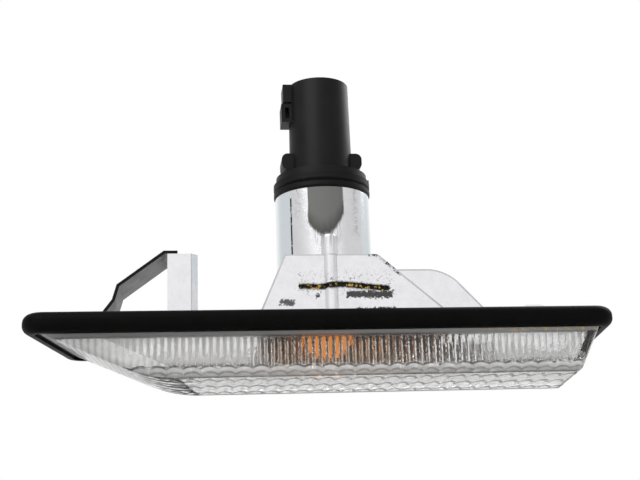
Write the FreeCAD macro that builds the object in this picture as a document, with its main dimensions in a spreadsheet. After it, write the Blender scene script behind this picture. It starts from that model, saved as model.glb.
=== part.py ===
"""Side light of a car: fluted lens, metallised housing, rubber gasket, spring clip and turn-lock bulb holder.

The lamp stands on its lens: +Z runs from the lens face to the plug socket, +X along the lamp, +Y across it.
The origin is the middle of the gasket's outline, on the plane of the lens face. Lengths are in millimetres.
"""
import FreeCAD, Part

import os
import re

import Sketcher

SIZES = {
    # Outline of the gasket, which is the outline of the lamp
    "lamp_length": 114.2,
    "lamp_height": 34.0,
    "end_slant": 5.5,
    "corner_radius": 4.0,
    # Gasket
    "gasket_front": 7.9,
    "gasket_back": 11.7,
    "gasket_round": 1.7,
    "gasket_lip": 3.8,
    "gasket_fit": 0.1,
    # Lens
    "lens_depth": 8.6,
    "lens_inset": 2.4,
    "lens_wall": 1.8,
    "lens_draft": 1.4,
    "lens_left_run": 20.0,
    "lens_right_run": 4.2,
    "lens_bow_radius": 24.0,
    "flute_pitch": 1.24,
    "flute_width": 1.32,
    "flute_rise": 0.5,
    "flute_skirt": 1.3,
    "groove_pitch": 3.1,
    "groove_width": 2.8,
    "groove_depth": 0.45,
    "row_pitch": 8.0,
    "row_width": 3.4,
    "row_depth": 0.4,
    # Housing
    "plate_thickness": 2.0,
    "plate_inset": 1.4,
    "housing_wall": 1.5,
    "chamber_top": 22.8,
    "chamber_top_left": -9.2,
    "chamber_top_right": 8.4,
    "chamber_foot_left": -15.4,
    "chamber_foot_right": 24.8,
    "chamber_proud": 0.8,
    "wing_top": 22.3,
    "wing_top_right": 23.6,
    "wing_foot_right": 36.2,
    "wing_far": 9.0,
    "wing_round": 9.0,
    "slit_left": -6.8,
    "slit_right": 10.4,
    "slit_height": 16.7,
    "slit_width": 0.9,
    "slit_depth": 0.6,
    # Bulb tower
    "tower_x": -0.6,
    "tower_y": -1.9,
    "tower_radius": 9.3,
    "tower_top": 36.5,
    "tower_bore": 7.6,
    "rib_radius": 1.55,
    "rib_proud": 0.6,
    "rib_top": 27.0,
    "lock_lip": 1.6,
    "lock_lip_bore": 6.6,
    "lock_notch_angle": 38.0,
    "lock_turn": 45.0,
    # Spring post
    "post_from_end": 26.1,
    "post_length": 5.7,
    "post_width": 12.0,
    "post_top": 24.7,
    "post_wall": 1.3,
    "post_chamfer": 1.2,
    "gusset_run": 2.0,
    "gusset_rise": 5.0,
    # Retaining hook
    "hook_from_end": 17.7,
    "hook_width": 12.0,
    "hook_thickness": 1.3,
    "hook_reach": 3.4,
    "panel_gap": 1.0,
    # Spring clip
    "clip_thickness": 0.6,
    "clip_width": 12.0,
    "clip_leg": 7.0,
    "clip_leg_width": 9.0,
    "clip_knee_reach": 9.2,
    "clip_knee_drop": 6.1,
    "clip_shin_reach": 10.0,
    "clip_shin_drop": 8.9,
    "clip_toe_reach": 12.4,
    "clip_toe_drop": 12.1,
    # Bulb holder
    "holder_fit": 0.3,
    "seal_gap": 0.1,
    "seal_height": 2.9,
    "seal_radius": 9.55,
    "seal_bite": 0.35,
    "spigot_end": 24.0,
    "lug_height": 1.5,
    "lug_angle": 30.0,
    "lug_gap": 0.15,
    "flange_radius": 9.0,
    "flange_height": 1.5,
    "nib_size": 1.1,
    "barrel_radius": 6.25,
    "barrel_top": 60.5,
    "barrel_wall": 1.2,
    "barrel_draft": 0.2,
    "socket_floor": 46.5,
    "ear_bottom": 42.3,
    "ear_top": 45.6,
    "ear_reach": 1.75,
    "ear_width": 5.0,
    "ear_round": 1.2,
    "latch_width": 4.4,
    "latch_reach": 1.15,
    "latch_height": 3.8,
    "latch_gap": 0.4,
    "catch_reach": 1.55,
    "catch_height": 3.9,
    "catch_slot": 0.8,
    # Contacts
    "contact_width": 2.4,
    "contact_thickness": 0.6,
    "contact_spread": 2.5,
    "contact_foot": 25.0,
    "contact_recess": 5.5,
    # Bulb
    "bulb_radius": 5.15,
    "bulb_tip": 5.4,
    "bulb_shoulder": 19.0,
    "bulb_neck": 3.4,
    "bulb_base_width": 9.5,
    "bulb_base_thickness": 2.1,
    "bulb_base_end": 32.5,
    "bulb_base_fit": 0.15,
}

# The slit in the near wall: share of its length, then its lower and upper edge in slit widths
SLIT_EDGE = (
    (0.00, -0.1, 0.2), (0.08, -0.5, 0.5), (0.22, -0.6, 0.3), (0.36, -0.1, 0.8), (0.50, 0.0, 0.9),
    (0.64, -0.3, 0.6), (0.80, -0.8, 0.2), (0.92, -1.1, 0.0), (1.00, -0.8, -0.3),
)

WORD = re.compile(r"[a-z]+(?:_[a-z]+)+")
PLATE_BACK = "(lens_depth + plate_thickness)"
CHAMBER_NEAR = "(tower_y - tower_radius - chamber_proud)"
POST_LEFT = "(post_from_end - lamp_length / 2)"
HOOK_X = "(lamp_length / 2 - hook_from_end)"
SPIGOT = "(lock_lip_bore - holder_fit)"
SEAL_FOOT = "(tower_top + seal_gap)"
FLANGE_FOOT = "(tower_top + seal_gap + seal_height)"

doc = FreeCAD.newDocument("side_light")
sheet = doc.addObject("Spreadsheet::Sheet", "Sizes")
for row, (alias, value) in enumerate(SIZES.items(), start=1):
    sheet.set(f"A{row}", alias)
    sheet.set(f"B{row}", str(value))
    sheet.setAlias(f"B{row}", alias)
doc.recompute()


def bound(text):
    """An expression in which every size is read from the sheet."""
    return WORD.sub(lambda word: f"Sizes.{word.group()}", text)


def value_of(text):
    """The number that an expression of sizes gives now."""
    return float(sheet.evalExpression(bound(text)))


def new_body(name):
    """An empty body labelled with its node's name."""
    body = doc.addObject("PartDesign::Body", name)
    body.Label = name
    return body


def new_sketch(body, role, offset="0", shift="0"):
    """A sketch on one of the body's origin planes, moved along the plane's normal and its first axis."""
    sketch = body.newObject("Sketcher::SketchObject", "sketch")
    plane = next(feature for feature in body.Origin.OriginFeatures if feature.Role == role)
    sketch.AttachmentSupport = [(plane, "")]
    sketch.MapMode = "FlatFace"
    sketch.setExpression("AttachmentOffset.Base.z", bound(offset))
    sketch.setExpression("AttachmentOffset.Base.x", bound(shift))
    return sketch


def tie_point(sketch, geometry, position, point):
    """Ties one point of a sketch to a pair of expressions."""
    for kind, text in zip(("DistanceX", "DistanceY"), point):
        datum = sketch.addConstraint(
            Sketcher.Constraint(kind, -1, 1, geometry, position, value_of(text)))
        sketch.setExpression(f"Constraints[{datum}]", bound(text))


def polygon(sketch, points):
    """A closed outline of straight edges through pairs of expressions."""
    spots = [FreeCAD.Vector(value_of(across), value_of(up), 0) for across, up in points]
    first, count = sketch.GeometryCount, len(points)
    for i in range(count):
        sketch.addGeometry(Part.LineSegment(spots[i], spots[(i + 1) % count]))
    for i in range(count):
        sketch.addConstraint(
            Sketcher.Constraint("Coincident", first + i, 2, first + (i + 1) % count, 1))
    for i, point in enumerate(points):
        tie_point(sketch, first + i, 1, point)
    return sketch


def circle(sketch, centre, radius):
    """A circle whose centre and radius follow expressions."""
    spot = FreeCAD.Vector(value_of(centre[0]), value_of(centre[1]), 0)
    index = sketch.addGeometry(Part.Circle(spot, FreeCAD.Vector(0, 0, 1), value_of(radius)))
    tie_point(sketch, index, 3, centre)
    datum = sketch.addConstraint(Sketcher.Constraint("Radius", index, value_of(radius)))
    sketch.setExpression(f"Constraints[{datum}]", bound(radius))
    return sketch


def prism(body, kind, sketch, length, reverse=False):
    """A Pad that adds a prism to the body, or a Pocket that takes one away."""
    feature = body.newObject(f"PartDesign::{kind}", kind.lower())
    feature.Profile = sketch
    feature.setExpression("Length", bound(length))
    feature.Reversed = reverse
    doc.recompute()
    return feature


def revolve(body, sketch):
    """A solid of revolution about the sketch's own upright axis."""
    feature = body.newObject("PartDesign::Revolution", "revolution")
    feature.Profile = sketch
    feature.ReferenceAxis = (sketch, ["V_Axis"])
    feature.Angle = 360
    doc.recompute()
    return feature


def rounded(body, base, radius, wanted):
    """Rounds the edges of a feature for which the test holds."""
    names = [f"Edge{i}" for i, edge in enumerate(base.Shape.Edges, start=1) if wanted(edge)]
    feature = body.newObject("PartDesign::Fillet", "round")
    feature.Base = (base, names)
    feature.setExpression("Radius", bound(radius))
    doc.recompute()
    return feature


def repeat(body, feature, run, count):
    """Copies a feature along the lamp."""
    pattern = body.newObject("PartDesign::LinearPattern", "pattern")
    pattern.Originals = [feature]
    pattern.Direction = (feature.Profile[0], ["H_Axis"])
    pattern.setExpression("Length", bound(run))
    pattern.Occurrences = count
    body.Tip = pattern
    doc.recompute()
    return pattern


def slanted(left, right, side):
    """Corners of the lamp's slanted outline, moved in from its left end, right end and long sides."""
    lean = f"end_slant / lamp_height * ({side})"
    near, far = f"-lamp_height / 2 + {side}", f"lamp_height / 2 - ({side})"
    return (
        (f"-lamp_length / 2 + {left} + {lean}", near),
        (f"lamp_length / 2 - end_slant - ({right}) + {lean}", near),
        (f"lamp_length / 2 - ({right}) - {lean}", far),
        (f"-lamp_length / 2 + end_slant + {left} - {lean}", far),
    )


def box(left, right, near, far):
    """Corners of an upright rectangle."""
    return ((left, near), (right, near), (right, far), (left, far))


def sector(inner, outer, spread, middle):
    """Corners of a block between two radii about the tower's axis, at an angle from +X."""
    def at(radius, turn):
        angle = f"({middle} + {turn})"
        return (f"tower_x + {radius} * cos({angle})", f"tower_y + {radius} * sin({angle})")

    return (
        at(inner, f"-({spread}) / 2"), at(outer, f"-({spread}) / 2"), at(outer, "0"),
        at(outer, f"({spread}) / 2"), at(inner, f"({spread}) / 2"),
    )


def height_of(edge):
    """Lowest and highest point of an edge."""
    return edge.BoundBox.ZMin, edge.BoundBox.ZMax


def is_level(edge, height):
    """True for an edge that lies flat at one height."""
    low, high = height_of(edge)
    return high - low < 1e-4 and abs(low - height) < 1e-4


def is_upright(edge, low=-1e9, high=1e9):
    """True for a straight edge along Z that stays between two heights."""
    extent, (foot, head) = edge.BoundBox, height_of(edge)
    return extent.XLength < 1e-4 and extent.YLength < 1e-4 and low - 1e-4 < foot and head < high + 1e-4


def tray_profile(left, right, side, share, lift):
    """Side view of the lens at its far wall: a flat face between two sloping ends."""
    corners = slanted(left, right, side)
    low, high = corners[3][0], corners[2][0]
    return (
        (low, "lens_depth"), (f"{low} + lens_left_run * {share}", lift),
        (f"{high} - lens_right_run * {share}", lift), (high, "lens_depth"),
    )


def slanted_prism(body, kind, points, side):
    """A prism across the lamp whose ends follow the lamp's slant."""
    sketch = polygon(new_sketch(body, "XZ_Plane", f"-(lamp_height / 2 - ({side}))"), points)
    feature = prism(body, kind, sketch, f"lamp_height - 2 * ({side})")
    feature.UseCustomVector = True
    feature.AlongSketchNormal = True
    feature.Direction = FreeCAD.Vector(-value_of("end_slant"), -value_of("lamp_height"), 0)
    doc.recompute()
    return feature


def make_lens():
    """Clear cover: a shallow tray with a long slope at its left end, fluted inside."""
    shell = new_body("lens_shell")
    add_lens_block(shell)
    ramp_wall = "lens_wall * sqrt(lens_left_run ^ 2 + lens_depth ^ 2) / lens_depth"
    end_wall = "lens_wall * sqrt(lens_right_run ^ 2 + lens_depth ^ 2) / lens_depth"
    side = "lens_inset + lens_draft + lens_wall / 2"
    slanted_prism(shell, "Pocket", tray_profile(
        f"lens_inset + {ramp_wall}", f"lens_inset + {end_wall}", side, "(1 - lens_wall / lens_depth)",
        "lens_wall"), side)
    wall = f"(lamp_height / 2 - ({side}))"
    add_pillows(shell, wall)
    core = new_body("lens_core")
    slanted_prism(core, "Pad", tray_profile(
        f"lens_inset + {ramp_wall} / 2", f"lens_inset + {end_wall} / 2", "lens_inset",
        "(1 - lens_wall / 2 / lens_depth)", "lens_wall / 2"), "lens_inset")
    lens = doc.addObject("Part::MultiFuse", "lens")
    lens.Shapes = [shell, flute_row("near_flutes", -1, wall, core), flute_row("far_flutes", 1, wall, core)]
    doc.recompute()
    return lens


def add_lens_block(body):
    """The lens as a solid: slanted ends, drafted sides, a bowed foot to the ramp and round edges."""
    slanted_prism(body, "Pad", tray_profile("lens_inset", "lens_inset", "lens_inset", "1", "0"), "lens_inset")
    rim = "(lamp_height / 2 - lens_inset)"
    for sign in ("-1", "1"):
        draft = polygon(new_sketch(body, "YZ_Plane", "lamp_length"), (
            (f"{sign} * {rim}", "lens_depth"), (f"{sign} * ({rim} - lens_draft)", "0"),
            (f"{sign} * ({rim} - lens_draft)", "-lens_wall"), (f"{sign} * ({rim} + lens_wall)", "-lens_wall"),
            (f"{sign} * ({rim} + lens_wall)", "lens_depth")))
        block = prism(body, "Pocket", draft, "2 * lamp_length")
    depth = value_of("lens_depth")
    bow_end = value_of("-lamp_length / 2 + lens_inset + lens_left_run + end_slant")
    bow = rounded(body, block, "lens_bow_radius", lambda edge: (
        is_level(edge, 0.0) and edge.BoundBox.XMax < bow_end + 0.1))
    rounded(body, bow, "corner_radius - lens_inset", lambda edge: (
        not is_level(edge, depth) and not (edge.BoundBox.YLength > 10.0 and edge.BoundBox.XMax < 0.0)))


def groove_profile(middle, width, depth, floor):
    """Section of a groove in the inside of the face: two flanks and, where it has one, a flat floor."""
    bottom = f"lens_wall - {depth}"
    foot = ((f"{middle} - {floor} / 2", bottom), (f"{middle} + {floor} / 2", bottom))
    return (
        (f"{middle} - {width} / 2", "lens_wall"), *(foot if floor != "0" else foot[:1]),
        (f"{middle} + {width} / 2", "lens_wall"), (f"{middle} + {width} / 2", "2 * lens_wall"),
        (f"{middle} - {width} / 2", "2 * lens_wall"),
    )


def add_pillows(body, wall):
    """Grooves across and along the inside of the face, which leave it in pillows."""
    start = "(-lamp_length / 2 + lens_inset + lens_left_run + end_slant + lens_wall)"
    run = "(lamp_length - 2 * lens_inset - lens_left_run - lens_right_run - end_slant - 3 * lens_wall)"
    groove = prism(body, "Pocket", polygon(
        new_sketch(body, "XZ_Plane", wall),
        groove_profile(start, "groove_width", "groove_depth", "groove_width / 2")), f"2 * {wall}")
    repeat(body, groove, run, int(value_of(run) / value_of("groove_pitch")) + 1)
    span = f"(2 * {wall} - row_pitch)"
    row = prism(body, "Pocket", polygon(
        new_sketch(body, "YZ_Plane", f"{start} + {run}"),
        groove_profile(f"-{span} / 2", "row_width", "row_depth", "0")), run)
    repeat(body, row, span, int(value_of(span) / value_of("row_pitch")) + 1)


def flute_row(name, side, wall, core):
    """Upright flutes along one long wall of the lens, rooted in a strip inside it and cut to the lens's form."""
    body = new_body(name)
    start = "(-lamp_length / 2 + lens_inset + flute_pitch)"
    run = "(lamp_length - 2 * lens_inset - 2 * flute_pitch)"
    rise = "lens_depth - lens_wall / 2 - flute_skirt"
    foot, back, crest = (
        f"{side} * ({wall} {shift})" for shift in ("+ flute_rise", "+ flute_rise / 2", "- flute_rise"))
    prism(body, "Pad", polygon(new_sketch(body, "XY_Plane", "lens_wall / 2"), box(
        start, f"{start} + {run}", foot, back)), rise)
    flute = prism(body, "Pad", polygon(new_sketch(body, "XY_Plane", "lens_wall / 2"), (
        (f"{start} - flute_width / 2", foot), (f"{start} + flute_width / 2", foot),
        (f"{start} + flute_width / 2", f"{side} * {wall}"), (f"{start} + flute_width / 5", crest),
        (f"{start} - flute_width / 5", crest), (f"{start} - flute_width / 2", f"{side} * {wall}"))), rise)
    repeat(body, flute, run, int(value_of(run) / value_of("flute_pitch")) + 1)
    cut = doc.addObject("Part::MultiCommon", f"{name}_cut")
    cut.Shapes = [body, core]
    return cut


def slab(name, low, high, inset):
    """A flat slab in the lamp's outline with round corners, and the feature that ends it."""
    body = new_body(name)
    plain = prism(body, "Pad", polygon(new_sketch(body, "XY_Plane", low), slanted(inset, inset, inset)),
                  f"{high} - ({low})")
    return body, rounded(body, plain, f"corner_radius - ({inset})", is_upright)


def make_gasket():
    """Rubber ring in a C section that grips the edge of the housing plate."""
    ring, corners = slab("gasket_ring", "gasket_front", "gasket_back", "0")
    rounded(ring, corners, "gasket_round", lambda edge: height_of(edge)[1] - height_of(edge)[0] < 1e-4)
    cores = doc.addObject("Part::MultiFuse", "gasket_core")
    cores.Shapes = [
        slab("core_front", "gasket_front - gasket_round", "lens_depth", "lens_inset - gasket_fit")[0],
        slab("core_plate", "lens_depth", PLATE_BACK, "plate_inset")[0],
        slab("core_back", PLATE_BACK, "gasket_back + gasket_round", "gasket_lip")[0],
    ]
    gasket = doc.addObject("Part::Cut", "gasket")
    gasket.Base, gasket.Tool = ring, cores
    return gasket


def make_housing():
    """Metallised moulding: back plate, reflector chamber with its wing, bulb tower, spring post and hook."""
    body = new_body("housing")
    plate = prism(body, "Pad", polygon(
        new_sketch(body, "XY_Plane", "lens_depth"), slanted("plate_inset", "plate_inset", "plate_inset")),
        "plate_thickness")
    rounded(body, plate, "corner_radius - plate_inset", is_upright)
    add_chamber(body)
    add_tower(body)
    cut_slit(body)
    add_post(body)
    add_hook(body)
    hollow_out(body)
    return body


def chamber_profile(wall, foot):
    """Side view of the near part of the reflector chamber, shrunk by a wall."""
    return (
        (f"chamber_foot_left + {wall}", foot), (f"chamber_foot_right - 1.6 * ({wall})", foot),
        (f"chamber_top_right - 0.6 * ({wall})", f"chamber_top - ({wall})"),
        (f"chamber_top_left + 0.6 * ({wall})", f"chamber_top - ({wall})"),
    )


def wing_profile(wall, foot):
    """Side view of the far part of the reflector chamber, shrunk by a wall."""
    return (
        (f"chamber_foot_left + {wall}", foot), (f"wing_foot_right - 1.4 * ({wall})", foot),
        (f"wing_top_right - 0.4 * ({wall})", f"wing_top - ({wall})"),
        (f"chamber_top_left + 0.6 * ({wall})", f"wing_top - ({wall})"),
    )


def add_chamber(body):
    """The reflector chamber: a near block, and behind it a longer wing with a round shoulder."""
    prism(body, "Pad", polygon(
        new_sketch(body, "XZ_Plane", f"-{CHAMBER_NEAR}"), chamber_profile("0", "lens_depth")),
        f"tower_y - {CHAMBER_NEAR}", reverse=True)
    wing = prism(body, "Pad", polygon(
        new_sketch(body, "XZ_Plane", "-wing_far"), wing_profile("0", "lens_depth")), "wing_far - tower_y")
    shoulder_x, shoulder_z = value_of("wing_top_right"), value_of("wing_top")
    rounded(body, wing, "wing_round", lambda edge: (
        is_level(edge, shoulder_z) and abs(edge.BoundBox.XMin - shoulder_x) < 1e-3
        and edge.BoundBox.XLength < 1e-3))


def add_tower(body):
    """The tower that takes the bulb holder: a round tube with a rib on its near side."""
    centre = ("tower_x", "tower_y")
    prism(body, "Pad", circle(new_sketch(body, "XY_Plane", "lens_depth"), centre, "tower_radius"),
          "tower_top - lens_depth")
    rib = prism(body, "Pad", circle(
        new_sketch(body, "XY_Plane", PLATE_BACK),
        ("tower_x", f"{CHAMBER_NEAR} + rib_radius - rib_proud"), "rib_radius"), f"rib_top - {PLATE_BACK}")
    top = value_of("rib_top")
    rounded(body, rib, "rib_radius * 0.5", lambda edge: (
        is_level(edge, top) and edge.BoundBox.YMin < value_of(f"{CHAMBER_NEAR} - rib_proud / 2")))


def add_post(body):
    """The open post that carries the spring clip, with a gusset at its foot."""
    right = f"({POST_LEFT} + post_length)"
    half = "(post_width / 2)"
    prism(body, "Pad", polygon(new_sketch(body, "XY_Plane", "lens_depth"), (
        (POST_LEFT, f"-{half}"), (f"{right} - post_chamfer", f"-{half}"), (right, f"-{half} + post_chamfer"),
        (right, f"{half} - post_chamfer"), (f"{right} - post_chamfer", half), (POST_LEFT, half))),
        "post_top - lens_depth")
    prism(body, "Pocket", polygon(new_sketch(body, "XY_Plane", "post_top"), box(
        f"{POST_LEFT} + post_wall", f"{right} - post_wall", f"-{half} + post_wall", f"{half} - post_wall")),
        f"post_top - {PLATE_BACK}")
    prism(body, "Pad", polygon(new_sketch(body, "XZ_Plane", "post_wall"), (
        (f"{right} - post_wall", "lens_depth"), (f"{right} + gusset_run", "lens_depth"),
        (f"{right} + gusset_run", PLATE_BACK), (f"{right} - post_wall", f"{PLATE_BACK} + gusset_rise"))),
        "2 * post_wall", reverse=True)


def add_hook(body):
    """The hook at the right end that goes under the edge of the body panel."""
    catch = "(gasket_back + panel_gap)"
    prism(body, "Pad", polygon(new_sketch(body, "XZ_Plane", "hook_width / 2"), (
        (f"{HOOK_X} - hook_thickness", "lens_depth"), (HOOK_X, "lens_depth"), (HOOK_X, catch),
        (f"{HOOK_X} + hook_reach", catch), (f"{HOOK_X} + hook_reach", f"{catch} + hook_thickness / 2"),
        (f"{HOOK_X} + hook_reach / 2", f"{catch} + hook_thickness"),
        (f"{HOOK_X} - hook_thickness", f"{catch} + hook_thickness"))),
        "hook_width", reverse=True)


def hollow_out(body):
    """The reflector's hollow and the tower's bore with its lock lip."""
    near, far = f"({CHAMBER_NEAR} + housing_wall)", "(wing_far - housing_wall)"
    prism(body, "Pocket", polygon(
        new_sketch(body, "XZ_Plane", f"-{near}"), chamber_profile("housing_wall", "lens_depth")),
        f"tower_y + housing_wall - {near}")
    prism(body, "Pocket", polygon(
        new_sketch(body, "XZ_Plane", "-(tower_y + housing_wall)"),
        wing_profile("housing_wall", "lens_depth")), f"{far} - tower_y - housing_wall")
    centre = ("tower_x", "tower_y")
    lip = "(tower_top - lock_lip)"
    prism(body, "Pocket", circle(new_sketch(body, "XY_Plane", lip), centre, "tower_bore"),
          f"{lip} - lens_depth")
    prism(body, "Pocket", circle(new_sketch(body, "XY_Plane", "tower_top"), centre, "lock_lip_bore"),
          "2 * lock_lip")
    for side in ("0", "180"):
        prism(body, "Pocket", polygon(new_sketch(body, "XY_Plane", "tower_top"), sector(
            "(lock_lip_bore / 2)", "tower_bore", "lock_notch_angle", f"{side} + lock_turn")), "2 * lock_lip")


def cut_slit(body):
    """The ragged slit across the near wall and its rib."""
    def edge_point(share, lift):
        return f"slit_left + {share} * (slit_right - slit_left)", f"slit_height + {lift} * slit_width"

    lower = [edge_point(share, low) for share, low, high in SLIT_EDGE]
    upper = [edge_point(share, high) for share, low, high in reversed(SLIT_EDGE)]
    ahead = new_sketch(body, "XZ_Plane", f"-({CHAMBER_NEAR} - 2 * rib_proud)")
    prism(body, "Pocket", polygon(ahead, lower + upper), "2 * rib_proud + slit_depth")


def strip_outline(path, thickness):
    """Corner points of a strip of even thickness along a path of straight runs."""
    half = thickness / 2
    normals = []
    for start, end in zip(path, path[1:]):
        run = (end - start).normalize()
        normals.append(FreeCAD.Vector(run.z, 0, -run.x))
    sides = []
    for side in (half, -half):
        edge = [path[0] + normals[0] * side]
        for point, before, after in zip(path[1:-1], normals, normals[1:]):
            edge.append(point + (before + after) * (side / (1 + before.dot(after))))
        edge.append(path[-1] + normals[-1] * side)
        sides.append(edge)
    return sides[0] + sides[1][::-1]


def make_clip():
    """Sprung steel strip: a leg inside the post, a bend over its wall and a long tongue down to the plate."""
    thickness, width = value_of("clip_thickness"), value_of("clip_width")
    left, top = value_of(POST_LEFT), value_of("post_top")
    leg_x = value_of(f"{POST_LEFT} + post_wall + clip_thickness / 2")
    crown = value_of("post_top + clip_thickness / 2")
    path = [FreeCAD.Vector(x, -width / 2, z) for x, z in (
        (leg_x, top - value_of("clip_leg")),
        (leg_x, crown),
        (left - thickness, crown),
        (left - value_of("clip_knee_reach"), top - value_of("clip_knee_drop")),
        (left - value_of("clip_shin_reach"), top - value_of("clip_shin_drop")),
        (left - value_of("clip_toe_reach"), top - value_of("clip_toe_drop")),
    )]
    corners = strip_outline(path, thickness)
    strip = Part.Face(Part.makePolygon(corners + corners[:1])).extrude(FreeCAD.Vector(0, width, 0))
    spare = (width - value_of("clip_leg_width")) / 2
    for near in (-width / 2, width / 2 - spare):
        strip = strip.cut(Part.makeBox(
            value_of("post_length"), spare, top, FreeCAD.Vector(left, near, 0)))
    clip = doc.addObject("Part::Feature", "spring_clip")
    clip.Label = "spring_clip"
    clip.Shape = strip
    return clip


def make_holder():
    """Turn-lock holder: spigot with two lugs, flange, grip ears, and a round plug socket with its latch."""
    body = new_body("bulb_holder")
    flange_top = f"{FLANGE_FOOT} + flange_height"
    half_section = (
        ("0", "spigot_end"), (SPIGOT, "spigot_end"), (SPIGOT, FLANGE_FOOT), ("flange_radius", FLANGE_FOOT),
        ("flange_radius", flange_top), ("barrel_radius", flange_top),
        ("barrel_radius - barrel_draft", "barrel_top"), ("barrel_radius - barrel_wall", "barrel_top"),
        ("barrel_radius - barrel_wall", "socket_floor"), ("0", "socket_floor"),
    )
    revolve(body, polygon(new_sketch(body, "XZ_Plane", "-tower_y", "tower_x"), half_section))
    for side in ("0", "180"):
        prism(body, "Pad", polygon(
            new_sketch(body, "XY_Plane", "tower_top - lock_lip - lug_gap - lug_height"), sector(
                f"({SPIGOT} - holder_fit)", "(tower_bore - holder_fit)", "lug_angle", side)), "lug_height")
    add_grips(body)
    add_latch(body)
    slot = "bulb_base_thickness / 2 + contact_thickness"
    prism(body, "Pocket", polygon(new_sketch(body, "XY_Plane", "bulb_base_end"), box(
        "tower_x - bulb_base_width / 2 - bulb_base_fit", "tower_x + bulb_base_width / 2 + bulb_base_fit",
        f"tower_y - ({slot})", f"tower_y + {slot}")), "bulb_base_end - spigot_end")
    for corners in (contact_plan(-1), contact_plan(1)):
        prism(body, "Pocket", polygon(new_sketch(body, "XY_Plane", "socket_floor"), corners),
              "socket_floor - bulb_base_end")
    return body


def add_grips(body):
    """Two ears to turn the holder by, and the nib that marks its locked place."""
    for side in ("-1", "1"):
        reach = (f"tower_x + {side} * (barrel_radius - 1)", f"tower_x + {side} * (barrel_radius + ear_reach)")
        left, right = reach if side == "1" else reach[::-1]
        ear = prism(body, "Pad", polygon(new_sketch(body, "XY_Plane", "ear_bottom"), box(
            left, right, "tower_y - ear_width / 2", "tower_y + ear_width / 2")), "ear_top - ear_bottom")
        tip = value_of(reach[1])
        rounded(body, ear, "ear_round", lambda edge: (
            edge.BoundBox.XLength < 1e-4 and edge.BoundBox.ZLength < 1e-4
            and abs(edge.BoundBox.XMin - tip) < 1e-3))
    prism(body, "Pad", polygon(new_sketch(body, "XY_Plane", FLANGE_FOOT), box(
        "tower_x + flange_radius - nib_size", "tower_x + flange_radius + nib_size / 2",
        "tower_y - nib_size / 2", "tower_y + nib_size / 2")), "nib_size")


def add_latch(body):
    """The plug's catch: a block at the socket's mouth, and below it an open loop."""
    near, far = "tower_y - latch_width / 2", "tower_y + latch_width / 2"
    catch_top = "(barrel_top - latch_height - latch_gap)"
    inner = "tower_x - barrel_radius + barrel_wall - barrel_draft"
    prism(body, "Pad", polygon(new_sketch(body, "XY_Plane", "barrel_top - latch_height"), box(
        "tower_x - barrel_radius - latch_reach", inner, near, far)), "latch_height")
    prism(body, "Pad", polygon(new_sketch(body, "XY_Plane", f"{catch_top} - catch_height"), box(
        "tower_x - barrel_radius - catch_reach", inner, near, far)), "catch_height")
    prism(body, "Pocket", polygon(new_sketch(body, "XZ_Plane", f"-({far})"), box(
        "tower_x - barrel_radius - catch_slot", "tower_x - barrel_radius",
        f"{catch_top} - catch_height + catch_slot", f"{catch_top} - catch_slot")),
        "latch_width", reverse=True)


def contact_plan(side):
    """Plan of one contact strip, which lies against a flat of the bulb's base."""
    middle = f"tower_x + {side} * contact_spread"
    rows = (f"tower_y + {side} * bulb_base_thickness / 2",
            f"tower_y + {side} * (bulb_base_thickness / 2 + contact_thickness)")
    near, far = rows if side > 0 else rows[::-1]
    return box(f"{middle} - contact_width / 2", f"{middle} + contact_width / 2", near, far)


def make_contacts():
    """Two metal strips that join the plug's terminals to the bulb's base."""
    bodies = []
    for name, side in (("contact_left", -1), ("contact_right", 1)):
        body = new_body(name)
        prism(body, "Pad", polygon(new_sketch(body, "XY_Plane", "contact_foot"), contact_plan(side)),
              "barrel_top - contact_recess - contact_foot")
        bodies.append(body)
    return bodies


def make_seal():
    """Rubber ring with two lips between the holder's flange and the tower."""
    body = new_body("holder_seal")
    foot, head = SEAL_FOOT, FLANGE_FOOT
    waist = f"{foot} + seal_height / 2"
    revolve(body, polygon(new_sketch(body, "XZ_Plane", "-tower_y", "tower_x"), (
        (SPIGOT, foot), ("seal_radius - seal_bite", foot), ("seal_radius", f"{foot} + seal_bite"),
        ("seal_radius", f"{waist} - seal_bite"), ("seal_radius - seal_bite", waist),
        ("seal_radius", f"{waist} + seal_bite"), ("seal_radius", head), (SPIGOT, head))))
    return body


def make_bulb():
    """Amber wedge-base bulb, its tip toward the lens."""
    body = new_body("bulb")
    dome = [
        (f"bulb_radius * sin({turn})", f"bulb_tip + bulb_radius * (1 - cos({turn}))")
        for turn in (30, 60, 90)]
    revolve(body, polygon(new_sketch(body, "XZ_Plane", "-tower_y", "tower_x"), (
        ("0", "bulb_tip"), *dome, ("bulb_radius", "bulb_shoulder"), ("bulb_neck", "spigot_end"),
        ("0", "spigot_end"))))
    prism(body, "Pad", polygon(new_sketch(body, "XY_Plane", "bulb_shoulder"), box(
        "tower_x - bulb_base_width / 2", "tower_x + bulb_base_width / 2",
        "tower_y - bulb_base_thickness / 2", "tower_y + bulb_base_thickness / 2")),
        "bulb_base_end - bulb_shoulder")
    return body


def export_nodes(nodes):
    """Checks every object, then writes each node to its own file."""
    doc.recompute()
    for item in doc.Objects:
        if "Invalid" in item.State or "Error" in item.State:
            raise RuntimeError(f"{item.Label} ({item.TypeId}) did not build: {item.State}")
    os.makedirs("parts", exist_ok=True)
    for node in nodes:
        if node.Shape.isNull() or not node.Shape.isValid():
            raise RuntimeError(f"{node.Label} has no valid shape")
        node.Shape.exportStep(f"parts/{node.Label}.step")


export_nodes((
    make_lens(), make_gasket(), make_housing(), make_clip(), make_holder(), *make_contacts(),
    make_seal(), make_bulb(),
))
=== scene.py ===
"""Studio scene of the car side light: finishes of its parts, one small web, lights, floor and camera."""

import functools
import logging
import math
import operator
from dataclasses import dataclass
from enum import Enum
from typing import Union

import bpy
from mathutils import Matrix, Vector


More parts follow.
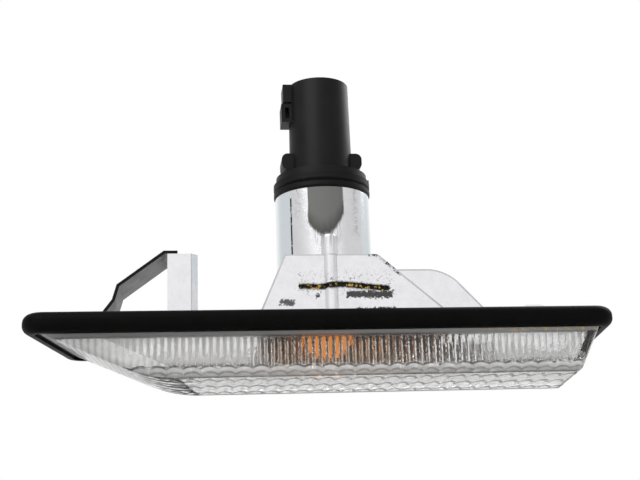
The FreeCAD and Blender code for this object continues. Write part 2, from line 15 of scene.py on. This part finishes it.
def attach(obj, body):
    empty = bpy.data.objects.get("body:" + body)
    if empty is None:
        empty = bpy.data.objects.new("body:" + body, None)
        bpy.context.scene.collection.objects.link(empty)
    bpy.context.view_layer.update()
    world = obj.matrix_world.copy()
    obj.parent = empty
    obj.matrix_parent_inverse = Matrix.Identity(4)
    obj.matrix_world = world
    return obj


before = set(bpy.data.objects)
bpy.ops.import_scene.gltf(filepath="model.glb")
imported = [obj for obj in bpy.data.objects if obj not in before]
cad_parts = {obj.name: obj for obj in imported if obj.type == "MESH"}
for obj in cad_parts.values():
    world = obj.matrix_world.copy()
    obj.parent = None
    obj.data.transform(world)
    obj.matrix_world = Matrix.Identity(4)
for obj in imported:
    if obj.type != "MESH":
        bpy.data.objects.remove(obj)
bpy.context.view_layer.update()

LOG = logging.getLogger("side_light")
MM = 0.001
Number = Union[float, "Wire"]
Key = Union[int, str]
Triple = tuple[float, float, float]
Colour = Triple
Box = tuple[float, float, float, float]
Mark = tuple[Box, float]


class Body(Enum):
    """Rigid bodies of the lamp."""

    LAMP = "lamp"
    HOLDER = "holder"


class Slot(Enum):
    """Material slots of the record."""

    LENS = "lens_clear"
    HOUSING = "housing_metallised"
    GASKET = "gasket_rubber"
    CLIP = "clip_steel"
    HOLDER = "holder_plastic"
    SEAL = "seal_rubber"
    CONTACT = "contact_metal"
    BULB = "bulb_amber"


@dataclass
class Wire:
    """One output socket of a node, with arithmetic that adds Math nodes."""

    graph: "Graph"
    socket: bpy.types.NodeSocket

    def math(self, operation: str, *others: Number) -> "Wire":
        """Adds a Math node that takes this value and then the others."""
        return self.graph.add("ShaderNodeMath", 0, {"operation": operation}, dict(enumerate((self, *others))))

    def __add__(self, other: Number) -> "Wire":
        """The sum."""
        return self.math("ADD", other)

    def __sub__(self, other: Number) -> "Wire":
        """The difference."""
        return self.math("SUBTRACT", other)

    def __rsub__(self, other: Number) -> "Wire":
        """A number less this value."""
        return self.math("MULTIPLY", -1.0).math("ADD", other)

    def __mul__(self, other: Number) -> "Wire":
        """The product."""
        return self.math("MULTIPLY", other)

    def __truediv__(self, other: Number) -> "Wire":
        """The quotient."""
        return self.math("DIVIDE", other)

    def __rtruediv__(self, other: Number) -> "Wire":
        """A number divided by this value."""
        return self.math("POWER", -1.0).math("MULTIPLY", other)

    def __abs__(self) -> "Wire":
        """The value without its sign."""
        return self.math("ABSOLUTE")

    def __or__(self, other: Number) -> "Wire":
        """The larger of two masks."""
        return self.math("MAXIMUM", other)

    def __and__(self, other: Number) -> "Wire":
        """The smaller of two masks."""
        return self.math("MINIMUM", other)

    __radd__ = __add__
    __rmul__ = __mul__
    __ror__ = __or__
    __rand__ = __and__

    def ramp(self, low: float, high: float) -> "Wire":
        """A smooth step from 0 at low to 1 at high, which falls where high is below low."""
        return self.graph.add("ShaderNodeMapRange", "Result", {"interpolation_type": "SMOOTHSTEP"}, {
            "Value": self, "From Min": low, "From Max": high})

    def window(self, low: float, high: float, soft: float) -> "Wire":
        """A mask that is 1 between low and high, and fades within soft of either."""
        return self.ramp(low - soft, low + soft) & self.ramp(high + soft, high - soft)


Spots = tuple[Wire, Wire]
Place = tuple[Wire, Wire, Wire]


class Graph:
    """Node tree of a material or of the world."""

    def __init__(self, owner: Union[bpy.types.Material, bpy.types.World], output: str) -> None:
        """Empties the owner's node tree and gives it an output node.

        Args:
            owner: The material or world.
            output: Type of its output node.
        """
        owner.use_nodes = True
        self.owner = owner
        self.tree = owner.node_tree
        self.tree.nodes.clear()
        self.output = self.tree.nodes.new(output)

    @classmethod
    def material(cls, name: str) -> "Graph":
        """Starts a new material."""
        return cls(bpy.data.materials.new(name), "ShaderNodeOutputMaterial")

    @classmethod
    def world(cls, name: str) -> "Graph":
        """Starts a new world and gives it to the scene.

        Args:
            name: The world's name.

        Returns:
            Its graph.
        """
        world = bpy.data.worlds.new(name)
        bpy.context.scene.world = world
        return cls(world, "ShaderNodeOutputWorld")

    def end(self, surface: Wire) -> Union[bpy.types.Material, bpy.types.World]:
        """Links the last shader to the output and gives the finished material or world."""
        self.feed(self.output.inputs["Surface"], surface)
        return self.owner

    def feed(self, socket: bpy.types.NodeSocket, value: object) -> None:
        """Links a wire to a socket, or sets a plain value on it.

        Args:
            socket: The input socket.
            value: A wire, number or colour.
        """
        if isinstance(value, Wire):
            self.tree.links.new(value.socket, socket)
        elif isinstance(value, tuple) and socket.type == "RGBA":
            socket.default_value = (*value, 1.0)
        else:
            socket.default_value = value

    @staticmethod
    def pick(sockets: bpy.types.bpy_prop_collection, key: Key) -> bpy.types.NodeSocket:
        """Finds a socket.

        Args:
            sockets: The sockets of one side of a node.
            key: Its place among them, or its name.

        Returns:
            The socket; of several with one name, the first that is in use.
        """
        if isinstance(key, int):
            return sockets[key]
        return next(socket for socket in sockets if socket.name == key and socket.enabled)

    def add(self, kind: str, output: Key, settings: dict[str, object], inputs: dict[Key, object]) -> Wire:
        """Adds any node.

        Args:
            kind: Node type.
            output: Name or place of the output wanted.
            settings: Properties of the node.
            inputs: Values for its input sockets, by name or place.

        Returns:
            The output wanted.
        """
        node = self.tree.nodes.new(kind)
        for name, value in settings.items():
            setattr(node, name, value)
        for key, value in inputs.items():
            self.feed(self.pick(node.inputs, key), value)
        return Wire(self, self.pick(node.outputs, output))

    def place(self) -> Wire:
        """Position in the lamp's own frame, in metres."""
        return self.add("ShaderNodeTexCoord", "Object", {}, {})

    def axes(self) -> Place:
        """Position along X, Y and Z in millimetres."""
        place = self.place()
        return tuple(self.add("ShaderNodeSeparateXYZ", axis, {}, {0: place}) * (1.0 / MM) for axis in "XYZ")

    def noise(
            self, scale: float, detail: float = 3.0, roughness: float = 0.55,
            stretch: Triple = (1.0, 1.0, 1.0)) -> Wire:
        """Adds noise.

        Args:
            scale: Features per metre.
            detail: Number of finer layers.
            roughness: Strength of the finer layers.
            stretch: Scale along X, Y and Z; below 1 draws the features out.

        Returns:
            The noise, between 0 and 1.
        """
        place = self.add("ShaderNodeMapping", "Vector", {}, {"Vector": self.place(), "Scale": stretch})
        return self.add("ShaderNodeTexNoise", "Fac", {}, {
            "Vector": place, "Scale": scale, "Detail": detail, "Roughness": roughness})

    def blend(self, factor: Wire, low: object, high: object) -> Wire:
        """Mixes two colours, with factor as the share of the second."""
        return self.add("ShaderNodeMix", 2, {"data_type": "RGBA"}, {0: factor, 6: low, 7: high})

    def mix(self, factor: Wire, low: Wire, high: Wire) -> Wire:
        """Mixes two shaders, with factor as the share of the second."""
        return self.add("ShaderNodeMixShader", 0, {}, {0: factor, 1: low, 2: high})

    def bump(self, height: Wire, strength: float, distance: float) -> Wire:
        """Bends the normal by a height, of which 1 stands for distance in metres."""
        return self.add("ShaderNodeBump", "Normal", {}, {
            "Height": height, "Strength": strength, "Distance": distance})

    def principled(self, **inputs: object) -> Wire:
        """Adds a Principled shader; the sockets are named with underscores for spaces."""
        return self.add("ShaderNodeBsdfPrincipled", "BSDF", {}, {
            name.replace("_", " "): value for name, value in inputs.items()})


def tinted(colour: Colour, factor: float) -> Colour:
    """A colour made lighter by a factor above 1, or darker by one below it."""
    return tuple(factor * part for part in colour)


@dataclass(frozen=True)
class BlackFinish:
    """Black rubber or plastic with a faint uneven gloss."""

    name: str
    colour: Colour
    roughness: float
    grain: float
    specular: float

    def build(self) -> bpy.types.Material:
        """Builds the material.

        Returns:
            The material.
        """
        graph = Graph.material(self.name)
        cloud = graph.noise(self.grain, 4.0)
        fine = graph.noise(self.grain * 12.0, 2.0)
        return graph.end(graph.principled(
            Base_Color=graph.blend(cloud.ramp(0.3, 0.75), self.colour, tinted(self.colour, 1.5)),
            Roughness=cloud * 0.2 + (self.roughness - 0.1), Specular_IOR_Level=self.specular,
            Normal=graph.bump(fine, 0.15, 0.00005)))


@dataclass(frozen=True)
class ClearFinish:
    """Clear moulded plastic: a frosted rim where it is welded on, wavy rows on its face, hazy outer flutes.

    Lengths are in millimetres. The two sloping ends are planes: slant, end_slope and end_place give the right
    one, ramp_slope and ramp_place the left one. The tray is the flat part of the face beside the left ramp.
    """

    name: str
    colour: Colour
    line: Colour
    rim: Colour
    pale: Colour
    brown: Colour
    fleck: Colour
    roughness: float
    near_wall: float = -12.0
    weld_height: float = 7.1
    tray_end: float = -26.4
    row_pitch: float = 8.4
    scallop_pitch: float = 3.1
    rib_pitch: float = 1.24
    dent_pitch: float = 4.0
    slant: float = 0.162
    end_slope: float = 0.488
    end_place: float = 47.75
    ramp_slope: float = 2.3
    ramp_place: float = -25.6

    @staticmethod
    def arches(value: Wire, pitch: float) -> Wire:
        """A row of round arches of one pitch, from 0 to 1 high."""
        return abs((value * (math.pi / pitch)).math("SINE"))

    def tray(self, place: Place) -> Wire:
        """Mask of the flat tray."""
        x, _, z = place
        return z.ramp(2.0, 1.8) & x.ramp(self.tray_end + 0.8, self.tray_end)

    def lines(self, place: Place, swing: Wire, grain: Wire) -> Wire:
        """Dark wavy lines: rows on the face, two at the near wall's foot, one along the far edge.

        Args:
            place: Position along X, Y and Z.
            swing: Scallops along X.
            grain: Noise that makes the lines uneven.

        Returns:
            The mask.
        """
        _, y, z = place
        uneven = grain - 0.5
        row = abs(((y + swing * 3.0 + uneven * 2.4 + 2.5) / self.row_pitch).math("FRACT") - 0.5)
        rows = row.ramp(0.15, 0.08) & z.ramp(1.2, 0.4)
        wave = z - swing * 0.4 - uneven * 0.5
        foot = abs(wave - 1.5).ramp(0.3, 0.14) | (abs(wave - 0.45).ramp(0.24, 0.1) * 0.6)
        near = y.ramp(self.near_wall, self.near_wall - 0.4)
        brink = z.ramp(1.4, 0.8) & y.ramp(10.4, 11.2)
        return ((rows | (foot & near)) * grain.ramp(0.25, 0.55)) | brink

    def veil(self, place: Place, lines: Wire, grain: Wire) -> Wire:
        """Share of the frosted shader.

        Args:
            place: Position along X, Y and Z.
            lines: Mask of the dark lines.
            grain: Noise that makes the left ramp uneven.

        Returns:
            The share.
        """
        x, y, z = place
        tray = self.tray(place)
        face = z.ramp(1.2, 0.4)
        skirt = z.ramp(2.0, 1.7) & y.ramp(self.near_wall + 0.2, self.near_wall - 0.4)
        slope = (x + z * self.ramp_slope).ramp(self.ramp_place, self.ramp_place - 0.5)
        ribbed = self.arches(x, self.rib_pitch) * 0.2 + grain * 0.3 + 0.15
        lean = x - y * self.slant - z * self.end_slope
        end = lean.ramp(self.end_place - 0.5, self.end_place - 0.1)
        right = x.ramp(24.0, 32.0) & lean.ramp(self.end_place - 1.6, self.end_place - 2.6)
        wall = y.ramp(self.near_wall + 0.8, self.near_wall + 0.2) & z.ramp(1.8, 2.6)
        flutes = (x.ramp(-12.0, -18.0) | right) & wall
        weld = z.ramp(self.weld_height + 0.05, self.weld_height + 0.3)
        return (
            (weld * 0.85) | (lines * 0.85) | (end * 0.45) | (flutes * 0.28)
            | ((face - tray) * 0.2) | (skirt * 0.4) | ((slope - tray) * ribbed))

    def build(self) -> bpy.types.Material:
        """Builds the material.

        Returns:
            The material.
        """
        graph = Graph.material(self.name)
        place = x, y, z = graph.axes()
        grain = graph.noise(900.0)
        swing = self.arches(x, self.scallop_pitch)
        lines = self.lines(place, swing, grain)
        dents = (swing + self.arches(y, self.dent_pitch) * 0.6) * self.tray(place)
        wall = y.ramp(self.near_wall + 0.8, self.near_wall + 0.2) & z.ramp(1.6, 2.4)
        cast = x.ramp(-17.0, -10.0) & x.ramp(27.0, 4.0) & wall
        clear = graph.principled(
            Base_Color=graph.blend(cast, self.colour, self.brown),
            Roughness=grain * 0.1 + (self.roughness - 0.05), IOR=1.42, Transmission_Weight=1.0,
            Normal=graph.bump(dents * 0.6 + grain * 0.15, 1.0, 0.001))
        flecks = (
            graph.noise(3000.0, 2.0).ramp(0.57, 0.62) & x.ramp(22.0, 34.0)
            & z.ramp(self.weld_height, self.weld_height + 0.2))
        tone = graph.blend(x.ramp(-50.0, 50.0), self.rim, tinted(self.rim, 1.5))
        tone = graph.blend(z.ramp(self.weld_height, self.weld_height - 0.2), tone, self.pale)
        tone = graph.blend(flecks, graph.blend(lines, tone, self.line), self.fleck)
        frosted = graph.principled(Base_Color=tone, Roughness=0.5, Specular_IOR_Level=0.2)
        return graph.end(graph.mix(self.veil(place, lines, grain), clear, frosted))


@dataclass(frozen=True)
class AmberFinish:
    """Amber-coated bulb glass, with a glow for the light that the reflector throws through it."""

    name: str
    colour: Colour
    glow: float

    def build(self) -> bpy.types.Material:
        """Builds the material."""
        graph = Graph.material(self.name)
        return graph.end(graph.principled(
            Base_Color=self.colour, Roughness=0.12, IOR=1.5, Transmission_Weight=0.35,
            Emission_Color=self.colour, Emission_Strength=self.glow))


@dataclass(frozen=True)
class SteelFinish:
    """Blackened spring steel: a worn grey face between dark cut edges, half_width millimetres from Y 0."""

    name: str
    face: Colour
    edge: Colour
    half_width: float = 5.9

    def build(self) -> bpy.types.Material:
        """Builds the material.

        Returns:
            The material.
        """
        graph = Graph.material(self.name)
        _, y, _ = graph.axes()
        cloud = graph.noise(260.0, 4.0)
        worn = graph.blend(cloud.ramp(0.3, 0.7), self.face, tinted(self.face, 0.7))
        cut = abs(y).ramp(self.half_width - 0.05, self.half_width + 0.05)
        return graph.end(graph.principled(
            Base_Color=graph.blend(cut, worn, self.edge), Roughness=cloud * 0.2 + 0.35,
            Metallic=0.4, Specular_IOR_Level=0.15))


@dataclass(frozen=True)
class MetalFinish:
    """Plain bare metal."""

    name: str
    colour: Colour
    roughness: float

    def build(self) -> bpy.types.Material:
        """Builds the material."""
        graph = Graph.material(self.name)
        return graph.end(graph.principled(Base_Color=self.colour, Roughness=self.roughness, Metallic=1.0))


@dataclass(frozen=True)
class MetallisedFinish:
    """Aluminium-coated plastic, speckled, with bare patches where the coating missed or wore off.

    Marks are straight lines: X and Z of both ends, and the width, in millimetres.
    """

    name: str
    silver: Colour
    dull: Colour
    # Colour of a painted bluish reflection on the tower's flanks.
    painted_reflection_blue: Colour
    bare: Colour
    # Colour of the dark marks and the slit, and of the painted shade.
    dark: Colour
    gold: Colour
    shaded: Colour
    smears: tuple[Mark, ...] = (
        ((2.2, 15.1, 10.9, 15.0), 0.85), ((3.8, 11.9, 11.4, 11.9), 0.85), ((-3.3, 15.3, -3.1, 14.5), 0.5))
    faint_smear: Mark = ((-10.2, 13.9, -7.6, 13.5), 0.9)
    scorches: tuple[Mark, ...] = (
        ((-6.7, 16.7, -2.4, 16.6), 0.85), ((-2.6, 16.6, 1.4, 17.05), 0.9),
        ((1.2, 17.05, 7.0, 16.5), 0.9), ((6.8, 16.5, 10.3, 16.2), 0.8))
    chipped: tuple[Mark, ...] = (((6.6, 22.6, 8.4, 22.6), 0.4), ((8.2, 22.65, 14.2, 17.45), 0.5))
    # Lines of painted shade along edges: the chamber wall's, the wing's and the post's chamfer.
    wall_edges: tuple[Mark, ...] = (
        ((-9.08, 22.74, -15.28, 8.54), 0.28), ((8.3, 22.7, 24.7, 8.5), 0.28), ((-9.2, 22.7, 8.4, 22.7), 0.2))
    wing_edges: tuple[Mark, ...] = (((9.0, 22.15, 19.65, 22.15), 0.2), ((26.1, 19.3, 36.1, 8.5), 0.24))
    post_edge: Mark = ((-26.5, 9.0, -26.5, 24.8), 0.16)

    @staticmethod
    def patch(spots: Spots, box: Box, soft: float) -> Wire:
        """A soft-edged mask over a box of the near side: left, right, lower and upper side."""
        return spots[0].window(box[0], box[1], soft) & spots[1].window(box[2], box[3], soft)

    @staticmethod
    def line(spots: Spots, mark: Mark) -> Wire:
        """A mask along one mark.

        Args:
            spots: Position along X and Z.
            mark: The mark.

        Returns:
            The mask.
        """
        (x0, z0, x1, z1), width = mark
        length = math.hypot(x1 - x0, z1 - z0)
        across = (spots[0] - x0) * ((z1 - z0) / length) - (spots[1] - z0) * ((x1 - x0) / length)
        along = (spots[0] - x0) * ((x1 - x0) / length) + (spots[1] - z0) * ((z1 - z0) / length)
        return abs(across).ramp(width, 0.4 * width) & along.window(0.0, length, 0.1)

    def lines(self, spots: Spots, marks: tuple[Mark, ...]) -> Wire:
        """A mask along several marks."""
        return functools.reduce(operator.or_, (self.line(spots, mark) for mark in marks))

    def tower_wear_and_shade(self, spots: Spots, noises: Place, streak: Wire) -> tuple[Wire, Wire]:
        """Wear of the bulb tower, and a painted shadow at the lower tip of its bare patch.

        Args:
            spots: Position along X and Z.
            noises: Coarse, middle and fine noise.
            streak: Noise drawn out along Z.

        Returns:
            The bare patch below the seal, and the dark marks with the painted shadow.
        """
        _, flake, dust = noises
        x, z = spots
        grit = flake + dust
        middle = x + 1.0
        bowl = z - middle * middle * 0.3 - middle * 0.25 + (flake - 0.5) * 0.9 + (streak - 0.5) * 1.6
        bare = (x + (flake - 0.5) * 0.4).window(-4.4, 2.5, 0.15) & bowl.ramp(26.0, 27.5)
        streaks = x.window(-3.6, 1.8, 0.9) & bowl.ramp(22.4, 26.6) & streak.ramp(0.44, 0.6)
        band = self.patch(spots, (-6.9, -5.3, 31.0, 38.0), 1.4) & grit.ramp(1.06, 1.16)
        strip = self.patch(spots, (4.5, 5.3, 27.5, 37.0), 0.7) * (grit.ramp(0.9, 1.15) * 0.5 + 0.1)
        seam = self.patch(spots, (-7.55, -7.25, 23.0, 35.0), 0.06) & flake.ramp(0.34, 0.44)
        # Painted shadow, darker towards the bare patch's lower tip.
        shadow = bare & bowl.ramp(31.0, 26.6)
        return bare | (streaks * 0.7), (band * 0.8) | strip | seam | (shadow * 0.6)

    def plate_wear_and_edge_shade(self, spots: Spots, noises: Place) -> Wire:
        """Dark flaked marks of the chamber's near wall, and painted shade lines along its edges.

        Args:
            spots: Position along X and Z.
            noises: Coarse, middle and fine noise.

        Returns:
            The mask.
        """
        cloud, flake, dust = noises
        ragged = tuple(spot + (flake - 0.5) * 0.9 for spot in spots)
        torn = tuple(spot + (flake - 0.5) * 2.2 + (dust - 0.5) * 1.2 for spot in spots)
        smeared = (self.lines(torn, self.smears) | (self.line(torn, self.faint_smear) * 0.5)).ramp(0.2, 0.55)
        soot = dust.ramp(0.55, 0.6) & flake.ramp(0.48, 0.58)
        halo = self.patch(spots, (-7.0, 11.0, 15.4, 19.2), 0.9) & soot
        chips = self.lines(spots, self.chipped) & flake.ramp(0.46, 0.52) & cloud.ramp(0.46, 0.54)
        # Painted shade lines along the wall's edges.
        edges = self.lines(spots, self.wall_edges)
        return (smeared * 0.95) | self.lines(ragged, self.scorches) | halo | chips | (edges * 0.45)

    def wing_edge_shade(self, spots: Spots) -> Wire:
        """A thin painted shade line along the wing's edge: its top, its round shoulder and its slope.

        Args:
            spots: Position along X and Z.

        Returns:
            The mask.
        """
        x, z = spots
        right, up = x - 19.65, z - 13.3
        radius = (right * right + up * up).math("SQRT")
        shoulder = radius.window(8.72, 9.1, 0.05) & x.window(19.65, 26.2, 0.1)
        return shoulder | self.lines(spots, self.wing_edges)

    @staticmethod
    def chamber_shade(place: Place) -> Wire:
        """The inner walls of the reflector chamber, painted with a dark brown shade.

        Args:
            place: Position along X, Y and Z.

        Returns:
            The mask.
        """
        x, y, z = place
        rise = z - 8.6
        left, right = x + 14.58 - rise * 0.437, 23.65 - x - rise * 1.155
        return (
            z.window(8.8, 21.6, 0.1) & y.window(-11.25, 8.25, 0.1)
            & left.ramp(0.0, 0.2) & right.ramp(0.0, 0.2))

    def build(self) -> bpy.types.Material:
        """Builds the material.

        Returns:
            The material.
        """
        graph = Graph.material(self.name)
        place = x, y, z = graph.axes()
        spots = (x, z)
        noises = cloud, flake, dust = (
            graph.noise(420.0, 5.0, 0.65), graph.noise(1500.0, 4.0, 0.7), graph.noise(3600.0, 2.0, 0.6))
        streak = graph.noise(3600.0, 2.0, 0.6, (1.0, 1.0, 0.1))
        above = z.ramp(22.75, 22.95)
        tower = above & y.ramp(-3.0, -4.0)
        # The marks carry the painted shadow at the bare patch's tip.
        bare, marks = (mask & tower for mask in self.tower_wear_and_shade(spots, noises, streak))
        # Painted bluish reflection on both flanks of the tower.
        side = abs(x + 0.6).window(6.7, 12.0, 0.2) & above
        # The near wall's marks, with painted shade lines along its edges.
        plate_marks_and_shade = self.plate_wear_and_edge_shade(spots, noises) & y.ramp(-11.4, -11.8)
        # Painted shade line along the post's chamfer edge.
        post_edge_shade = self.line(spots, self.post_edge) & y.ramp(-5.5, -5.8)
        # Painted shade line along the wing's edge.
        wing = self.wing_edge_shade(spots) & y.window(-2.1, -1.7, 0.05)
        specks = dust.ramp(0.68, 0.73) & cloud.ramp(0.5, 0.6)
        slit = self.patch(spots, (-7.0, 10.6, 15.4, 17.9), 0.05) & y.window(-11.93, -11.2, 0.02)
        # Dark marks and dust, together with painted shade along edges and at the bare patch's tip.
        grime_and_shade = marks | plate_marks_and_shade | (specks * 0.7) | (post_edge_shade * 0.4) | (wing * 0.45)
        tone = graph.blend(side, graph.blend(cloud.ramp(0.3, 0.7), self.silver, self.dull), self.painted_reflection_blue)
        # Painted brown shade on the reflector chamber's inner walls.
        tone = graph.blend(self.chamber_shade(place), tone, self.shaded)
        tone = graph.blend(grime_and_shade, graph.blend(bare, tone, self.bare), self.dark)
        tone = graph.blend(slit, tone, graph.blend(flake.ramp(0.54, 0.58), self.dark, self.gold))
        # Bare patches, dark marks with painted shade, and the slit take away the metal finish.
        wear_and_shade = bare | grime_and_shade | slit
        return graph.end(graph.principled(
            Base_Color=tone, Metallic=1.0 - wear_and_shade, Roughness=cloud * 0.12 + wear_and_shade * 0.35 + 0.12,
            Specular_IOR_Level=0.15, Normal=graph.bump(cloud, 0.15, 0.0002)))


Finish = Union[BlackFinish, ClearFinish, AmberFinish, SteelFinish, MetalFinish, MetallisedFinish]


@dataclass(frozen=True)
class Dressing:
    """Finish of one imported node."""

    node: str
    finish: Finish

    def apply(self, materials: dict[str, bpy.types.Material]) -> None:
        """Puts the finish on the node.

        Args:
            materials: Materials built so far, by name.
        """
        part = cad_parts[self.node]
        name = self.finish.name
        if name not in materials:
            materials[name] = self.finish.build()
        part.data.materials.clear()
        part.data.materials.append(materials[name])
        LOG.info("%s: %s", self.node, name)


RUBBER = BlackFinish(Slot.GASKET.value, (0.0016, 0.0016, 0.0015), 0.5, 300.0, 0.03)
SEAL_RUBBER = BlackFinish(Slot.SEAL.value, (0.003, 0.003, 0.003), 0.5, 300.0, 0.1)
PLASTIC = BlackFinish(Slot.HOLDER.value, (0.0035, 0.0036, 0.004), 0.45, 260.0, 0.12)
STEEL = SteelFinish(Slot.CLIP.value, (0.13, 0.13, 0.132), (0.004, 0.004, 0.004))
CLEAR = ClearFinish(
    Slot.LENS.value, colour=(0.92, 0.925, 0.915), line=(0.08, 0.08, 0.075), rim=(0.16, 0.16, 0.157),
    pale=(0.85, 0.85, 0.845), brown=(0.52, 0.42, 0.34), fleck=(0.5, 0.34, 0.1), roughness=0.06)
AMBER = AmberFinish(Slot.BULB.value, (0.9, 0.43, 0.003), 0.65)
BRASS = MetalFinish(Slot.CONTACT.value, (0.75, 0.62, 0.38), 0.3)
SILVER = MetallisedFinish(
    Slot.HOUSING.value, silver=(0.82, 0.82, 0.84), dull=(0.76, 0.76, 0.785), painted_reflection_blue=(0.77, 0.82, 0.85),
    bare=(0.11, 0.11, 0.106), dark=(0.008, 0.008, 0.008), gold=(0.75, 0.48, 0.1), shaded=(0.2, 0.15, 0.12))

DRESSINGS = (
    Dressing("lens", CLEAR),
    Dressing("housing", SILVER),
    Dressing("gasket", RUBBER),
    Dressing("spring_clip", STEEL),
    Dressing("bulb_holder", PLASTIC),
    Dressing("holder_seal", SEAL_RUBBER),
    Dressing("contact_left", BRASS),
    Dressing("contact_right", BRASS),
    Dressing("bulb", AMBER),
)


@dataclass(frozen=True)
class CatchWeb:
    """Thin web that closes the loop of the plug's catch; lengths in millimetres."""

    centre: Triple = (-7.25, -1.9, 54.35)
    size: Triple = (0.9, 1.2, 2.4)

    def build(self, materials: dict[str, bpy.types.Material]) -> None:
        """Makes the web.

        Args:
            materials: Materials built so far, by name.
        """
        bpy.ops.object.select_all(action="DESELECT")
        bpy.ops.mesh.primitive_cube_add(size=1.0, location=[MM * part for part in self.centre])
        web = bpy.context.active_object
        web.name = "catch_web"
        web.scale = [MM * part for part in self.size]
        bpy.ops.object.transform_apply(location=True, rotation=True, scale=True)
        web.data.materials.append(materials[PLASTIC.name])
        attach(web, Body.HOLDER.value)
        LOG.info("catch web built")


@dataclass(frozen=True)
class SoftLight:
    """One soft square light aimed at the lamp; lengths in metres, power in watts."""

    name: str
    place: Triple
    power: float
    size: float = 0.5
    target: Triple = (0.0, 0.0, 0.02)

    def build(self) -> None:
        """Makes the light."""
        data = bpy.data.lights.new(self.name, "AREA")
        data.shape = "SQUARE"
        data.size = self.size
        data.energy = self.power
        light = bpy.data.objects.new(self.name, data)
        bpy.context.scene.collection.objects.link(light)
        light.location = self.place
        light.rotation_mode = "QUATERNION"
        light.rotation_quaternion = (Vector(self.target) - Vector(self.place)).to_track_quat("-Z", "Y")


@dataclass(frozen=True)
class Studio:
    """White surround, pale floor and soft lights."""

    floor_size: float = 0.9
    floor_colour: Colour = (0.86, 0.86, 0.86)
    white: Colour = (1.0, 1.0, 1.0)
    fill: float = 0.75
    shade: float = 0.25
    lights: tuple[SoftLight, ...] = (
        SoftLight("key", (-0.35, -0.45, 0.55), 5.0), SoftLight("rim", (0.45, 0.35, 0.5), 3.0))

    def make_world(self) -> None:
        """A white surround, a little darker at both sides so that round metal shows its form."""
        graph = Graph.world("surround")
        direction = graph.add("ShaderNodeTexCoord", "Generated", {}, {})
        sides = abs(graph.add("ShaderNodeSeparateXYZ", "X", {}, {0: direction})).ramp(0.35, 0.8)
        camera, glossy, clear = (
            graph.add("ShaderNodeLightPath", f"Is {kind} Ray", {}, {})
            for kind in ("Camera", "Glossy", "Transmission"))
        mirrored = (glossy | clear) * (1.0 - sides * self.shade)
        ambient = (1.0 - (camera | glossy | clear)) * self.fill
        graph.end(graph.add("ShaderNodeBackground", "Background", {}, {
            "Color": self.white, "Strength": camera | mirrored | ambient}))

    def make_floor(self) -> None:
        """A pale floor, clear from below so that the low camera sees the lamp."""
        bpy.ops.object.select_all(action="DESELECT")
        bpy.ops.mesh.primitive_plane_add(size=self.floor_size)
        floor = bpy.context.active_object
        floor.name = "floor"
        graph = Graph.material("floor_pale")
        under = graph.add("ShaderNodeNewGeometry", "Backfacing", {}, {})
        pale = graph.add("ShaderNodeBsdfDiffuse", "BSDF", {}, {"Color": self.floor_colour})
        clear = graph.add("ShaderNodeBsdfTransparent", "BSDF", {}, {})
        floor.data.materials.append(graph.end(graph.mix(under, pale, clear)))

    def build(self) -> None:
        """Builds the whole studio."""
        self.make_world()
        self.make_floor()
        for light in self.lights:
            light.build()
        bpy.context.scene.view_settings.view_transform = "Standard"
        LOG.info("studio built")


@dataclass(frozen=True)
class PhotoCamera:
    """Camera fitted to the photograph: a little left of the lamp and below it, looking up.

    Angles are in degrees, place and clip in metres, the sensor in millimetres.
    """

    azimuth: float = -6.66
    elevation: float = -15.37
    roll: float = -2.04
    focal_px: float = 1097.15
    width_px: float = 640.0
    sensor: float = 36.0
    clip: tuple[float, float] = (0.01, 20.0)
    place: Triple = (-0.02549, -0.20942, -0.02905)

    def turn(self) -> Matrix:
        """Works out how the camera is turned.

        Returns:
            Its right, up and back, as the columns of a matrix.
        """
        azimuth, elevation, roll = map(math.radians, (self.azimuth, self.elevation, self.roll))
        level = math.cos(elevation)
        back = Vector((math.sin(azimuth) * level, -math.cos(azimuth) * level, math.sin(elevation)))
        right = (-back).cross(Vector((0, 0, 1))).normalized()
        up = right.cross(-back)
        turned = right * math.cos(roll) + up * math.sin(roll)
        upright = -right * math.sin(roll) + up * math.cos(roll)
        return Matrix((turned, upright, back)).transposed()

    def build(self) -> None:
        """Makes the camera and shows the scene through it."""
        data = bpy.data.cameras.new("photo_camera")
        data.sensor_width = self.sensor
        data.lens = self.focal_px / self.width_px * data.sensor_width
        data.clip_start, data.clip_end = self.clip
        camera = bpy.data.objects.new("photo_camera", data)
        bpy.context.scene.collection.objects.link(camera)
        camera.rotation_mode = "QUATERNION"
        camera.rotation_quaternion = self.turn().to_quaternion()
        camera.location = self.place
        bpy.context.scene.camera = camera
        LOG.info("camera placed")


def main() -> None:
    """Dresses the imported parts, builds the web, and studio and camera."""
    logging.basicConfig(level=logging.INFO)
    materials: dict[str, bpy.types.Material] = {}
    for dressing in DRESSINGS:
        dressing.apply(materials)
    CatchWeb().build(materials)
    Studio().build()
    PhotoCamera().build()


if __name__ == "__main__":
    main()
